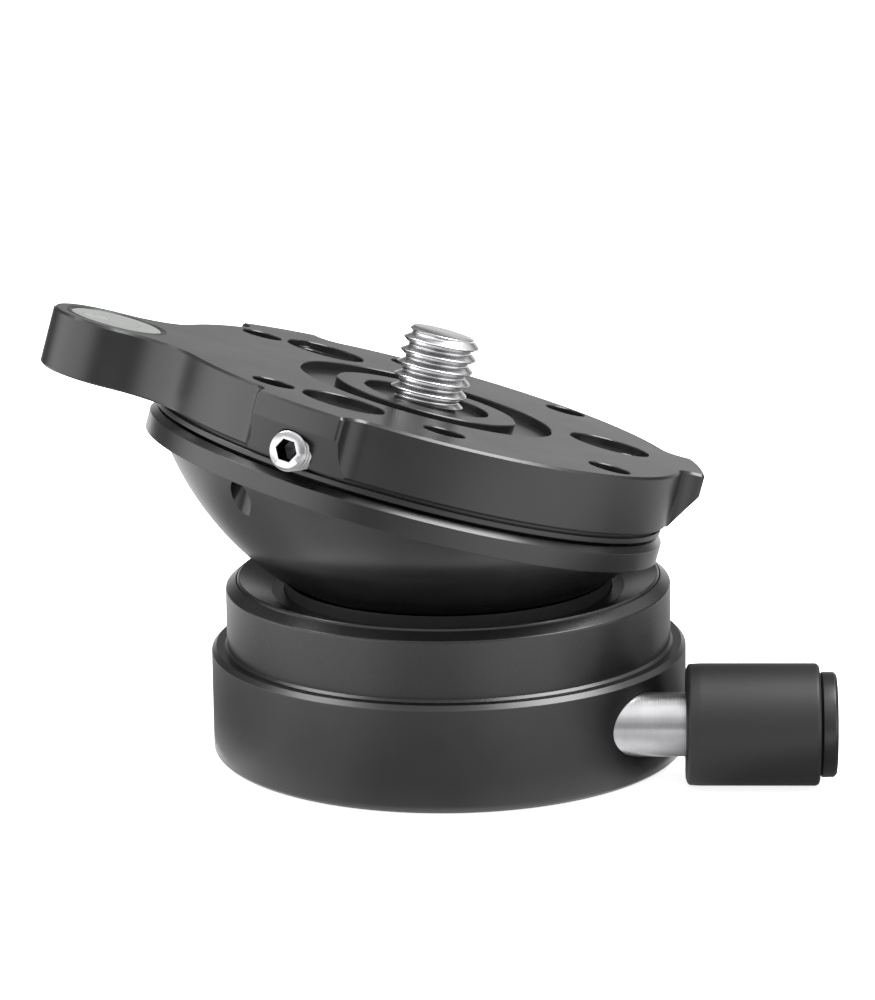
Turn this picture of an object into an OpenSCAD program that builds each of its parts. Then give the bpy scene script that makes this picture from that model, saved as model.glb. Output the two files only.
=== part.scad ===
// Leveling base for a tripod: a half ball that leans in a low round base, with a side clamp knob,
// a top plate with a camera stud and a bubble level on a lug.
// The origin is the centre of the base's underside, +Z is up and the clamp screw runs along X.

/* [Base] */
// Radius of the lower stage of the base
base_r = 30; // [29:0.5:34]
// Height of the lower stage
base_h = 13.5; // [13:0.1:15]
// Bevel round the top edge of the lower stage
base_edge = 0.6; // [0.3:0.1:1]
// Bevel round the underside of the base
base_foot = 0.4; // [0.2:0.1:0.8]
// Metal left between the end of the clamp bore and the outside
base_wall = 1.6; // [1.2:0.1:2.5]
// Radius of the cover let into the underside
cover_r = 23; // [22.5:0.1:24]
// Thickness of the underside cover
cover_t = 2.1; // [1.8:0.1:2.4]
// Distance of the case screws from the axis
case_screw_reach = 19.6; // [19:0.1:20]
// Radius of the case screws' shanks
case_screw_r = 1.5; // [1.2:0.1:1.6]
// Radius of the case screws' countersunk heads
case_screw_head_r = 2.9; // [2.6:0.1:3]
// Depth of the case screws' sockets
case_screw_socket = 1; // [0.8:0.1:1.3]
// Width across flats of the case screws' sockets
case_screw_key = 2; // [1.5:0.1:2]
// How far the case screws reach into the socket ring
case_screw_bite = 3; // [2:0.1:3.2]

/* [Socket ring] */
// Radius of the upper stage of the base
ring_r = 28.05; // [27.5:0.05:28.6]
// Height of the ring's straight wall
ring_wall_h = 7.45; // [7:0.05:8]
// Height of the bevel above the ring's wall
ring_bevel_h = 1.35; // [1:0.05:1.6]
// Width of the bevel above the ring's wall
ring_bevel_w = 1.7; // [1.2:0.1:2.2]
// Depth of the dish inside the rim
dish_depth = 1.8; // [1.5:0.1:2]
// Width of the flat at the bottom of the dish
dish_flat = 1.6; // [1.2:0.1:2.4]
// Radius of the lip that centres the ring on the lower stage
ring_lip_r = 24.6; // [24.2:0.1:25.2]
// Height of the centring lip
ring_lip_h = 1.2; // [0.8:0.1:1.3]
// Width of the centring lip
ring_lip_w = 2; // [1.5:0.1:3]
// Inner radius of the friction ring
seat_in_r = 15.6; // [15.4:0.1:16.2]
// Outer radius of the friction ring
seat_out_r = 20.6; // [20.2:0.1:21]
// Height of the friction ring's inner wall
seat_lip = 0.3; // [0.2:0.1:0.6]
// Thickness of the web under the friction ring
seat_web = 2.2; // [2:0.1:2.4]
// Width of the shelf that stands in past the friction ring
seat_shelf = 1; // [0.5:0.1:1.2]

/* [Tripod thread] */
// Core radius of the 3/8 inch tripod thread
tripod_r = 3.97; // [3.9:0.01:4]
// Radius of the threaded bush
bush_r = 7; // [6.5:0.1:7.5]
// Radius of the bush's flange
bush_flange_r = 8.8; // [8.4:0.1:9]
// Thickness of the bush's flange
bush_flange_t = 1.5; // [1.2:0.1:2]
// Thickness of the closed end of the bush
bush_cap = 0.7; // [0.5:0.1:1.2]

/* [Clamp] */
// Distance of the clamp screw from the base's axis
clamp_y = 17.5; // [17.3:0.1:17.8]
// Height of the clamp screw
clamp_z = 7.5; // [7.3:0.1:7.8]
// Radius of the two cotters
cotter_r = 3.95; // [3.85:0.05:4]
// Slot left between the two cotters
cotter_slot = 0.8; // [0.6:0.1:1.2]
// Radius of the clamp screw
clamp_screw_r = 2; // [1.8:0.1:2.2]
// How far the clamp screw reaches past the middle of the base
clamp_screw_reach = 14; // [10:0.5:15]
// Length of bare sleeve between the base and the knob
sleeve_show = 5.3; // [4:0.1:7]

/* [Knob] */
// Radius of the knob's grip
grip_r = 7.5; // [7:0.1:8]
// Length of the knob's grip
grip_len = 16.3; // [14:0.1:19]
// Rounding at the ends of the grip
grip_edge = 0.6; // [0.3:0.1:1]
// Radius of the knob's metal core
core_r = 5.2; // [5:0.1:5.6]
// Radius of the step at the knob's end
cap_r = 6.45; // [6:0.05:6.8]
// Length of the step at the knob's end
cap_len = 2.1; // [1.6:0.1:3]
// Bevel on the step at the knob's end
cap_edge = 0.35; // [0.2:0.05:0.5]
// Depth of the recess that takes the sleeve's end
sleeve_seat = 1.3; // [1:0.1:2]
// Thickness of the thrust washer
thrust_t = 0.6; // [0.4:0.1:1]
// Radius of the cross pin in the knob
knob_pin_r = 0.8; // [0.6:0.1:1]

/* [Pull stack] */
// Radius of the pull bolt
bolt_r = 3; // [2.8:0.1:3.2]
// Radius of the pull bolt's head
bolt_head_r = 5; // [4.6:0.1:5.4]
// Height of the pull bolt's head
bolt_head_h = 4; // [3:0.1:4.5]
// Width across flats of the pull bolt's socket
bolt_key = 5; // [4:0.5:5]
// Gap between the spherical clamp washer's edge and the spigot's inner wall
washer_gap = 5.8; // [5.4:0.1:6.8]
// Thickness of the clamp washer's edge
washer_edge = 0.8; // [0.5:0.1:1]
// Largest radius of the draw cup
cup_r = 15.4; // [15.2:0.1:15.6]
// Radius of the draw cup above its wedge face
cup_neck_r = 13; // [12.6:0.1:13.3]
// Inner radius of the draw cup
cup_in_r = 9.4; // [9.3:0.1:10]
// Thickness of the draw cup's top
cup_top_t = 3; // [2.6:0.1:3.2]
// Height of the wedge face on the draw cup
cup_wedge_h = 3.8; // [3.4:0.1:4.2]
// Height of the straight foot of the draw cup
cup_foot_h = 1.7; // [1.4:0.1:2]
// Width across flats of the lock nut
nut_key = 10; // [9:0.5:11]
// Height of the lock nut
nut_h = 2.4; // [2:0.1:2.6]
// Thickness of the disc spring's plate
spring_t = 0.5; // [0.3:0.05:0.6]
// Height of the disc spring
spring_h = 0.95; // [0.8:0.05:1.1]

/* [Half ball] */
// Radius of the ball
ball_r = 37.2; // [36.9:0.1:37.6]
// How far the ball reaches below the rim of the socket ring
ball_sink = 6.25; // [6.1:0.05:6.3]
// Wall of the bowl
bowl_wall = 4; // [3.8:0.1:4.2]
// Radius of the opening at the bottom of the bowl
mouth_r = 14; // [13.8:0.1:14.4]
// Width of the flange beyond the spigot
flange_w = 4; // [3.6:0.1:4.4]
// Height of the flange's wall
flange_t = 3.1; // [2.6:0.1:3.3]
// How far the flange stands out past the ball
flange_lip = 2.225; // [2.1:0.025:2.4]
// Bevel round the flange's top edge
flange_edge = 0.75; // [0.5:0.05:0.9]
// Outer radius of the spigot that the plate sits on
spigot_r = 29; // [28.8:0.1:29.2]
// Wall of the spigot
spigot_wall = 4.6; // [4.2:0.1:5]
// Depth of the wide part of the bowl below the flange's top face
bowl_ledge = 1.8; // [1.4:0.1:2]
// Radius of the spanner holes under the flange
spanner_r = 1.65; // [1.4:0.05:1.65]
// Distance of the spanner holes' centres in from the ball's edge at the flange
spanner_inset = 1.8; // [1.7:0.05:1.9]
// How far the spanner holes reach up into the flange
spanner_depth = 1.4; // [1:0.1:1.6]

/* [Top plate] */
// Wall of the plate round the spigot
plate_wall = 4; // [3.6:0.1:4.6]
// Thickness of the plate's rim
plate_t = 7.35; // [7:0.05:7.8]
// Thickness of the plate over the bowl
web_t = 3.5; // [3.2:0.1:3.8]
// Step from the rim in to the skirt under it
skirt_step = 0.5; // [0.4:0.1:1]
// Height of the skirt under the rim
skirt_h = 0.7; // [0.6:0.05:0.9]
// Height of the shadow groove between rim and skirt
shadow_h = 0.5; // [0.4:0.05:0.6]
// Depth of the shadow groove
shadow_d = 0.8; // [0.5:0.1:1]
// How far the screw tabs stand out of the plate
tab_stand = 2.3; // [1.8:0.1:3]
// Width of a screw tab
tab_w = 11.8; // [11.2:0.1:13]
// Height of a screw tab's upright face
tab_face_h = 2.8; // [2:0.1:3.2]
// How far a screw tab's sloping face stands out of the plate at its foot
tab_foot = 0.15; // [0.1:0.05:0.4]
// Inner radius at the foot of a screw tab
tab_fillet = 2.5; // [2:0.1:3]
// Rounding of a screw tab's corners
tab_corner = 0.8; // [0.5:0.1:0.9]
// Distance of the round holes' centres in from the plate's edge
hole_inset = 5; // [4.6:0.1:5.4]
// Radius of the round holes
hole_r = 2.6; // [2:0.1:2.7]
// Depth of the round holes
hole_depth = 2.4; // [1.5:0.1:2.6]
// Distance of the shallow recesses' centres in from the plate's edge
recess_inset = 9.2; // [9:0.1:9.4]
// Radius of the shallow recesses
recess_r = 5.1; // [4.9:0.1:5.2]
// Depth of the shallow recesses
recess_depth = 0.9; // [0.6:0.1:1.2]
// Outer radius of the ring groove
groove_out_r = 16.2; // [15:0.1:17]
// Inner radius of the ring groove
groove_in_r = 11.5; // [10.5:0.1:12.5]
// Depth of the ring groove
groove_depth = 1; // [0.6:0.1:1.4]
// Radius of the recess round the stud
stud_recess_r = 8; // [7:0.1:8.6]
// Depth of the recess round the stud
stud_recess_depth = 0.8; // [0.5:0.1:1.2]

/* [Stud and screws] */
// Radius of the 3/8 inch stud
stud_r = 4.7625; // [4.7:0.0125:4.8]
// Height of the stud above the plate
stud_h = 8.6; // [7:0.1:11]
// Bevel at the stud's tip
stud_edge = 0.7; // [0.4:0.1:1]
// Radius of the stud's shank inside the plate
shank_r = 4; // [3.5:0.1:4.2]
// Length of the stud below the plate's web
stud_tail = 3.6; // [3.4:0.1:4]
// Width across flats of the stud's nut
stud_nut_key = 14.3; // [13:0.1:16]
// Height of the stud's nut
stud_nut_h = 3.2; // [2.6:0.1:3.3]
// Radius of the side grub screws
side_r = 2.5; // [2:0.1:2.5]
// Width across flats of the side grub screws' sockets
side_key = 2.5; // [2:0.1:2.5]
// Depth of the side grub screws' sockets
side_socket = 2.4; // [1.5:0.1:2.8]
// Depth of the side grub screws' axis below the plate's top
side_drop = 5.7; // [5.6:0.1:5.8]
// How far the side grub screws stand out of the tabs' faces
side_show = 0.6; // [0:0.1:1.6]
// Radius of the upright grub screws
lock_r = 2; // [1.5:0.1:2]
// Width across flats of the upright grub screws' sockets
lock_key = 2; // [1.5:0.1:2]
// Depth of the upright grub screws' sockets
lock_socket = 1.2; // [0.8:0.1:1.3]
// Distance of the upright grub screws in from the spigot's outside
lock_inset = 2.3; // [2.2:0.1:2.5]
// Depth of the upright grub screws' heads below the recesses' floors
lock_drop = 0.4; // [0.2:0.1:0.5]

/* [Level] */
// Distance of the level's centre out from the plate's edge
lug_stand = 6.7; // [6:0.1:8]
// Radius of the lug that holds the level
lug_r = 7.9; // [7.6:0.1:8.4]
// Inner radius between the lug and the plate
neck_fillet = 6; // [4:0.1:8]
// Radius of the level's cup
level_r = 6.3; // [5.8:0.1:6.6]
// Wall of the level's cup
level_wall = 0.6; // [0.5:0.05:0.8]
// Depth of the level's cup
level_depth = 5; // [4:0.1:5.4]
// Thickness of the level's lens
lens_t = 1.4; // [1:0.1:1.6]
// Height of the dome hollowed under the lens
lens_dome = 0.6; // [0.3:0.1:0.8]
// Height of the fluid under the lens
fluid_h = 2.4; // [2:0.1:2.6]

/* [Pose] */
// Lean of the half ball
lean = 16.3; // [0:0.1:16.3]
// Direction that the half ball leans to
lean_azimuth = 18; // [0:1:359]
// Direction of the spanner holes in the bowl
bowl_azimuth = 111; // [0:0.1:119.9]
// Direction of the plate's first screw tab, opposite the level
plate_azimuth = 6.7; // [0:0.1:359]

/* [Fits] */
// Radial clearance of a turning or sliding fit
run_gap = 0.05; // [0.03:0.01:0.1]
// Gap between flat faces that move on each other
face_gap = 0.1; // [0.05:0.01:0.15]
// Clearance of the cotters in their bore
bore_gap = 0.1; // [0.05:0.01:0.15]
// Gap between the cotters and the draw cup
wedge_gap = 0.12; // [0.08:0.01:0.2]
// Gap between the ball's spherical faces and what they slide on
ball_gap = 0.15; // [0.1:0.01:0.2]
// Gap between the plate's skirt and the flange
skirt_gap = 0.4; // [0.3:0.05:0.5]
// Free room round pieces that pass each other inside
free_gap = 0.5; // [0.4:0.05:0.6]
// Overlap that closes a rounded corner onto its neighbours
bite = 0.02; // [0.01:0.01:0.03]

/* [Hidden] */
$fn = 96;

// Length by which a cut passes the face that it opens
over = 1;

// Facets of the large circles in a turned section
fine = 360;

// Heights of the base, from its underside
ring_top = base_h + ring_wall_h;
rim_z = ring_top + ring_bevel_h;
rim_r = ring_r - ring_bevel_w;
dish_z = rim_z - dish_depth;
ball_z = rim_z - ball_sink + ball_r;
seat_z = ball_z - sqrt(pow(ball_r + ball_gap, 2) - pow(seat_in_r, 2)) - seat_lip;
seat_h = ball_z - sqrt(pow(ball_r + ball_gap, 2) - pow(seat_out_r, 2)) - seat_z;
web_z = seat_z - face_gap - seat_web;

// Heights of the pull stack
cup_top_z = rim_z - ball_sink - free_gap;
cup_z = cover_t + spring_h + face_gap;
nut_z = cup_top_z - cup_top_t - nut_h;
bush_top = nut_z - free_gap;
wedge_foot_z = cup_z + cup_foot_h;
inner_r = ball_r - bowl_wall;
cavity_r = cup_r + free_gap;

// Places along the clamp screw
cotter_bore_r = cotter_r + bore_gap;
bore_end = sqrt(pow(base_r, 2) - pow(clamp_y + cotter_bore_r, 2)) - base_wall;
knob_x = sqrt(pow(base_r, 2) - pow(clamp_y, 2)) + sleeve_show;
sleeve_end = knob_x + sleeve_seat;
core_floor = sleeve_end + face_gap + thrust_t;
knob_end = knob_x + grip_len + cap_len;
screw_end = core_floor + (knob_end - core_floor) / 2;
pin_x = (core_floor + screw_end) / 2;

// Places on the half ball and its plate, from the ball's centre and axis
flange_r = spigot_r + flange_w;
spigot_in_r = spigot_r - spigot_wall;
washer_r = spigot_in_r - washer_gap;
washer_top = -sqrt(pow(inner_r, 2) - pow(washer_r, 2)) + washer_edge;
plate_r = spigot_r + plate_wall;
skirt_r = plate_r - skirt_step;
tab_reach = plate_r + tab_stand;
hole_reach = plate_r - hole_inset;
recess_reach = plate_r - recess_inset;
lug_reach = plate_r + lug_stand;
side_reach = tab_reach + side_show;
lock_reach = spigot_r - lock_inset;
ball_edge_r = flange_r - flange_lip;
spanner_reach = ball_edge_r - spanner_inset;
flange_foot = -sqrt(pow(ball_r, 2) - pow(ball_edge_r, 2));
flange_top = flange_foot + flange_t;
skirt_z = flange_top + skirt_gap;
rim_foot = skirt_z + skirt_h + shadow_h;
plate_top = rim_foot + plate_t;
web_foot = plate_top - web_t;
spigot_top = web_foot - face_gap;
side_z = plate_top - side_drop;

// Width across corners of a hexagon, as a radius
function hex_r(flats) = flats / sqrt(3);

// A flat ring of rectangular section
module tube(outer, inner, low, high) {
  rotate_extrude() translate([inner, low]) square([outer - inner, high - low]);
}

// Puts a child on the clamp screw's axis, with its own Z along +X
module on_clamp() {
  translate([0, -clamp_y, clamp_z]) rotate([0, 90, 0]) children();
}

// Leans a child that is modelled upright about the ball's centre
module leaned() {
  translate([0, 0, ball_z])
    rotate([0, 0, lean_azimuth]) rotate([0, lean, 0]) rotate([0, 0, -lean_azimuth])
      children();
}

// Turns a child to the plate's own direction on the leaned half ball
module on_plate() {
  leaned() rotate([0, 0, plate_azimuth]) children();
}

// The three case screws' places
module at_case_screws() {
  for (a = [90, 210, 330]) rotate([0, 0, a]) translate([case_screw_reach, 0, 0]) children();
}

// A countersunk head, flat side down
module screw_head() {
  cylinder(r1 = case_screw_head_r, r2 = case_screw_r, h = case_screw_head_r - case_screw_r);
}

module base_housing() {
  color("#2b2b2d") difference() {
    rotate_extrude() polygon([
      [0, 0], [base_r - base_foot, 0], [base_r, base_foot],
      [base_r, base_h - base_edge], [base_r - base_edge, base_h], [0, base_h]
    ]);
    translate([0, 0, -over]) cylinder(r = cavity_r, h = base_h + 2 * over);
    translate([0, 0, -over]) cylinder(r = cover_r + run_gap, h = cover_t + over);
    translate([0, 0, base_h - ring_lip_h - face_gap]) cylinder(r = ring_lip_r + run_gap, h = base_h);
    on_clamp() translate([0, 0, -bore_end]) cylinder(r = cotter_bore_r, h = bore_end + base_r);
    at_case_screws() cylinder(r = case_screw_r + run_gap, h = base_h + over);
  }
}

module socket_ring() {
  color("#303033") difference() {
    rotate_extrude() polygon([
      [cavity_r, base_h], [ring_lip_r - ring_lip_w, base_h], [ring_lip_r - ring_lip_w, base_h - ring_lip_h],
      [ring_lip_r, base_h - ring_lip_h], [ring_lip_r, base_h], [ring_r, base_h],
      [ring_r, ring_top], [rim_r, rim_z],
      [seat_out_r + run_gap + dish_flat, dish_z], [seat_out_r + run_gap, dish_z],
      [seat_out_r + run_gap, seat_z - face_gap], [seat_in_r - seat_shelf, seat_z - face_gap],
      [seat_in_r - seat_shelf, web_z], [cavity_r, web_z]
    ]);
    at_case_screws() cylinder(r = case_screw_r + run_gap, h = base_h + case_screw_bite + face_gap);
  }
}

module bottom_cover() {
  color("#242426") difference() {
    cylinder(r = cover_r, h = cover_t);
    translate([0, 0, -over]) cylinder(r = bush_r, h = cover_t + 2 * over);
    at_case_screws() translate([0, 0, -over]) cylinder(r = case_screw_r + run_gap, h = cover_t + 2 * over);
    at_case_screws() screw_head();
  }
}

module tripod_bush() {
  color("#c9c3b4") difference() {
    union() {
      cylinder(r = bush_r, h = bush_top);
      translate([0, 0, cover_t]) cylinder(r = bush_flange_r, h = bush_flange_t);
    }
    translate([0, 0, -over]) cylinder(r = tripod_r, h = bush_top - bush_cap + over);
  }
}

module case_screws() {
  color("#8a8a8c") at_case_screws() {
    difference() {
      union() {
        screw_head();
        cylinder(r = case_screw_r, h = base_h + case_screw_bite);
      }
      translate([0, 0, -over]) cylinder(r = hex_r(case_screw_key), h = case_screw_socket + over, $fn = 6);
    }
  }
}

module disc_spring() {
  color("#9a9a9c") rotate_extrude() polygon([
    [cup_in_r + free_gap, cover_t + spring_h - spring_t], [cup_r - free_gap, cover_t],
    [cup_r - free_gap, cover_t + spring_t], [cup_in_r + free_gap, cover_t + spring_h]
  ]);
}

// The draw cup's outside, grown by a gap
module cup_outline(gap) {
  rotate_extrude() polygon([
    [0, cup_z - gap], [cup_r + gap, cup_z - gap], [cup_r + gap, wedge_foot_z + gap],
    [cup_neck_r + gap, wedge_foot_z + cup_wedge_h + gap], [cup_neck_r + gap, cup_top_z + gap],
    [0, cup_top_z + gap]
  ]);
}

// A clamp cotter from one place to another along the clamp screw, scooped to the draw cup
module cotter(from, to, bore_r) {
  difference() {
    on_clamp() translate([0, 0, from]) cylinder(r = cotter_r, h = to - from);
    cup_outline(wedge_gap);
    on_clamp() translate([0, 0, -clamp_screw_reach - over])
      cylinder(r = bore_r, h = clamp_screw_reach + knob_end);
  }
}

module near_cotter() {
  color("#d6d6d8") cotter(cotter_slot / 2, sleeve_end, clamp_screw_r + run_gap);
}

module far_cotter() {
  color("#b9b9bc") cotter(face_gap + free_gap - bore_end, -cotter_slot / 2, clamp_screw_r + run_gap);
}

module clamp_screw() {
  color("#b0b0b2") difference() {
    on_clamp() translate([0, 0, -clamp_screw_reach])
      cylinder(r = clamp_screw_r, h = clamp_screw_reach + screw_end);
    knob_pin_shape(clamp_screw_r + over);
  }
}

module thrust_washer() {
  color("#c8b48a") on_clamp() tube(cotter_r, clamp_screw_r + run_gap, sleeve_end + face_gap, core_floor);
}

// The cross pin's round body, to a given half length
module knob_pin_shape(half) {
  on_clamp() translate([0, 0, pin_x]) rotate([0, 90, 0])
    cylinder(r = knob_pin_r, h = 2 * half, center = true);
}

module knob_core() {
  color("#29292b") difference() {
    on_clamp() rotate_extrude() polygon([
      [0, knob_x], [core_r, knob_x], [core_r, knob_x + grip_len], [cap_r - cap_edge, knob_x + grip_len],
      [cap_r, knob_x + grip_len + cap_edge], [cap_r, knob_end - cap_edge], [cap_r - cap_edge, knob_end],
      [0, knob_end]
    ]);
    on_clamp() translate([0, 0, knob_x - over]) cylinder(r = cotter_bore_r, h = core_floor - knob_x + over);
    on_clamp() translate([0, 0, knob_x]) cylinder(r = clamp_screw_r, h = screw_end - knob_x);
    knob_pin_shape(core_r + over);
  }
}

module knob_grip() {
  color("#1f1f20") on_clamp() rotate_extrude() polygon([
    [core_r, knob_x], [grip_r - grip_edge, knob_x], [grip_r, knob_x + grip_edge],
    [grip_r, knob_x + grip_len - grip_edge], [grip_r - grip_edge, knob_x + grip_len],
    [core_r, knob_x + grip_len]
  ]);
}

module knob_pin() {
  color("#a8a8aa") knob_pin_shape(core_r - face_gap);
}

module pull_bolt() {
  color("#b4b4b6") difference() {
    union() {
      translate([0, 0, nut_z]) cylinder(r = bolt_r, h = ball_z + washer_top + bite - nut_z);
      translate([0, 0, ball_z + washer_top]) cylinder(r = bolt_head_r, h = bolt_head_h);
    }
    translate([0, 0, ball_z + washer_top + bolt_head_h / 2])
      cylinder(r = hex_r(bolt_key), h = bolt_head_h, $fn = 6);
  }
}

module clamp_washer() {
  color("#bfa878") rotate_extrude() intersection() {
    translate([0, ball_z]) circle(inner_r - ball_gap, $fn = fine);
    translate([bolt_r, 0]) square([washer_r - bolt_r, ball_z + washer_top]);
  }
}

module draw_cup() {
  color("#9d9da0") difference() {
    cup_outline(0);
    translate([0, 0, cup_z - over]) cylinder(r = cup_in_r, h = cup_top_z - cup_top_t - cup_z + over);
    translate([0, 0, cup_z]) cylinder(r = bolt_r, h = cup_top_z);
  }
}

module lock_nut() {
  color("#acacae") difference() {
    translate([0, 0, nut_z]) cylinder(r = hex_r(nut_key), h = nut_h, $fn = 6);
    translate([0, 0, nut_z - over]) cylinder(r = bolt_r, h = nut_h + 2 * over);
  }
}

module friction_ring() {
  color("#d8d4c6") rotate_extrude() difference() {
    translate([seat_in_r, seat_z]) square([seat_out_r - seat_in_r, seat_h + over]);
    translate([0, ball_z]) circle(ball_r + ball_gap, $fn = fine);
  }
}

// Half section of the bowl, upright, from the ball's centre
module bowl_section() {
  ledge_z = flange_top - bowl_ledge;
  difference() {
    union() {
      intersection() {
        circle(ball_r, $fn = fine);
        translate([mouth_r, -ball_r]) square([ball_r, ball_r + flange_foot + bite]);
      }
      polygon([
        [spigot_in_r, flange_foot], [flange_r, flange_foot],
        [flange_r, flange_top - flange_edge], [flange_r - flange_edge, flange_top],
        [spigot_r, flange_top], [spigot_r, spigot_top], [spigot_in_r, spigot_top]
      ]);
    }
    intersection() {
      circle(inner_r, $fn = fine);
      translate([0, -ball_r]) square([ball_r, ball_r + ledge_z]);
    }
  }
}

module half_bowl() {
  color("#333336") leaned() difference() {
    rotate_extrude() bowl_section();
    for (a = [0, 120, 240]) rotate([0, 0, bowl_azimuth + a])
      translate([spanner_reach, 0, -ball_r])
        cylinder(r = spanner_r, h = ball_r + flange_foot + spanner_depth);
  }
}

// Concave corners between the round plate and a straight arm of a given half width
module arm_fillets(half_w, r) {
  cy = half_w + r - bite;
  cx = sqrt(pow(plate_r + r - bite, 2) - pow(cy, 2));
  for (side = [0, 1]) mirror([0, side]) difference() {
    polygon([[0, 0], [cx, 0], [cx, cy]]);
    translate([cx, cy]) circle(r);
  }
}

// Outline of the screw tab on the +X side
module tab_outline() {
  half = tab_w / 2;
  square_from = plate_r / 2;
  translate([square_from, -half]) square([tab_reach - tab_corner - square_from, tab_w]);
  translate([square_from, tab_corner - half]) square([tab_reach - square_from, tab_w - 2 * tab_corner]);
  for (side = [-1, 1])
    translate([tab_reach - tab_corner, side * (half - tab_corner)]) circle(tab_corner + bite);
  arm_fillets(half, tab_fillet);
}

// Outline of the lug for the level, on the -X side
module lug_outline() {
  rotate(180) {
    translate([plate_r / 2, -lug_r]) square([lug_reach - plate_r / 2, 2 * lug_r]);
    translate([lug_reach, 0]) circle(lug_r + bite);
    arm_fillets(lug_r, neck_fillet);
  }
}

// The three places that repeat round the plate
module at_thirds() {
  for (a = [0, 120, 240]) rotate([0, 0, a]) children();
}

// The plate's solid before it is drilled, upright, from the ball's centre
module plate_blank() {
  tab_slope = (tab_reach - plate_r - tab_foot) / (plate_t - tab_face_h);
  translate([0, 0, rim_foot]) linear_extrude(plate_t) {
    circle(plate_r);
    lug_outline();
  }
  intersection() {
    translate([0, 0, rim_foot]) linear_extrude(plate_t) at_thirds() tab_outline();
    at_thirds() rotate([90, 0, 0]) linear_extrude(plate_r, center = true) polygon([
      [0, rim_foot - over], [plate_r + tab_foot - tab_slope * over, rim_foot - over],
      [tab_reach + tab_slope * over, plate_top - tab_face_h + over],
      [tab_reach + tab_slope * over, plate_top + over], [0, plate_top + over]
    ]);
  }
  translate([0, 0, skirt_z]) cylinder(r = skirt_r, h = skirt_h);
  translate([0, 0, skirt_z]) cylinder(r = skirt_r - shadow_d, h = plate_t);
}

module top_plate() {
  color("#38383b") on_plate() difference() {
    plate_blank();
    translate([0, 0, skirt_z - over]) cylinder(r = spigot_r + run_gap, h = web_foot - skirt_z + over);
    translate([0, 0, skirt_z]) cylinder(r = shank_r, h = plate_t + skirt_h + over);
    translate([0, 0, plate_top - stud_recess_depth]) cylinder(r = stud_recess_r, h = plate_t);
    tube(groove_out_r, groove_in_r, plate_top - groove_depth, plate_top + over);
    for (a = [45, 90, 135, 225, 270, 315]) rotate([0, 0, a])
      translate([hole_reach, 0, plate_top - hole_depth]) cylinder(r = hole_r, h = plate_t);
    at_thirds() {
      translate([recess_reach, 0, plate_top - recess_depth]) cylinder(r = recess_r, h = plate_t);
      translate([lock_reach, 0, web_foot - over]) cylinder(r = lock_r, h = plate_t);
      translate([spigot_r - over, 0, side_z]) rotate([0, 90, 0]) cylinder(r = side_r, h = plate_r);
    }
    translate([-lug_reach, 0, plate_top - level_depth]) cylinder(r = level_r, h = plate_t);
  }
}

module mounting_stud() {
  color("#d9d9db") on_plate() rotate_extrude() polygon([
    [0, web_foot - stud_tail], [shank_r, web_foot - stud_tail],
    [shank_r, plate_top - stud_recess_depth], [stud_r, plate_top - stud_recess_depth],
    [stud_r, plate_top + stud_h - stud_edge], [stud_r - stud_edge, plate_top + stud_h],
    [0, plate_top + stud_h]
  ]);
}

module stud_nut() {
  color("#a4a4a6") on_plate() difference() {
    translate([0, 0, web_foot - stud_nut_h]) cylinder(r = hex_r(stud_nut_key), h = stud_nut_h, $fn = 6);
    translate([0, 0, web_foot - stud_nut_h - over]) cylinder(r = shank_r, h = stud_nut_h + 2 * over);
  }
}

// A grub screw along +Z with its socket at the top
module grub(r, length, key, socket) {
  difference() {
    cylinder(r = r, h = length);
    translate([0, 0, length - socket]) cylinder(r = hex_r(key), h = length, $fn = 6);
  }
}

module side_screws() {
  color("#dcdcde") on_plate() at_thirds()
    translate([spigot_r + face_gap, 0, side_z]) rotate([0, 90, 0])
      grub(side_r, side_reach - spigot_r - face_gap, side_key, side_socket);
}

module lock_screws() {
  color("#c4c4c6") on_plate() at_thirds()
    translate([lock_reach, 0, web_foot])
      grub(lock_r, web_t - recess_depth - lock_drop, lock_key, lock_socket);
}

module level_cup() {
  color("#1c1c1d") on_plate() translate([-lug_reach, 0, plate_top - level_depth]) difference() {
    cylinder(r = level_r, h = level_depth);
    translate([0, 0, level_depth - fluid_h - lens_t]) cylinder(r = level_r - level_wall, h = level_depth);
  }
}

module level_fluid() {
  color("#c9d6b0") on_plate() translate([-lug_reach, 0, plate_top - fluid_h - lens_t])
    cylinder(r = level_r - level_wall, h = fluid_h);
}

module level_lens() {
  dome_r = (pow(level_r - 2 * level_wall, 2) + pow(lens_dome, 2)) / (2 * lens_dome);
  color("#d5d8d8") on_plate() translate([-lug_reach, 0, plate_top]) rotate_extrude() difference() {
    translate([0, -lens_t]) square([level_r - level_wall, lens_t]);
    translate([0, lens_dome - lens_t - dome_r]) circle(dome_r, $fn = fine);
  }
}

base_housing();
socket_ring();
bottom_cover();
tripod_bush();
case_screws();
disc_spring();
near_cotter();
far_cotter();
clamp_screw();
thrust_washer();
knob_core();
knob_grip();
knob_pin();
pull_bolt();
clamp_washer();
draw_cup();
lock_nut();
friction_ring();
half_bowl();
top_plate();
mounting_stud();
stud_nut();
side_screws();
lock_screws();
level_cup();
level_fluid();
level_lens();
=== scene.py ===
import math

import bpy
from mathutils import Matrix, Vector


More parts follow.
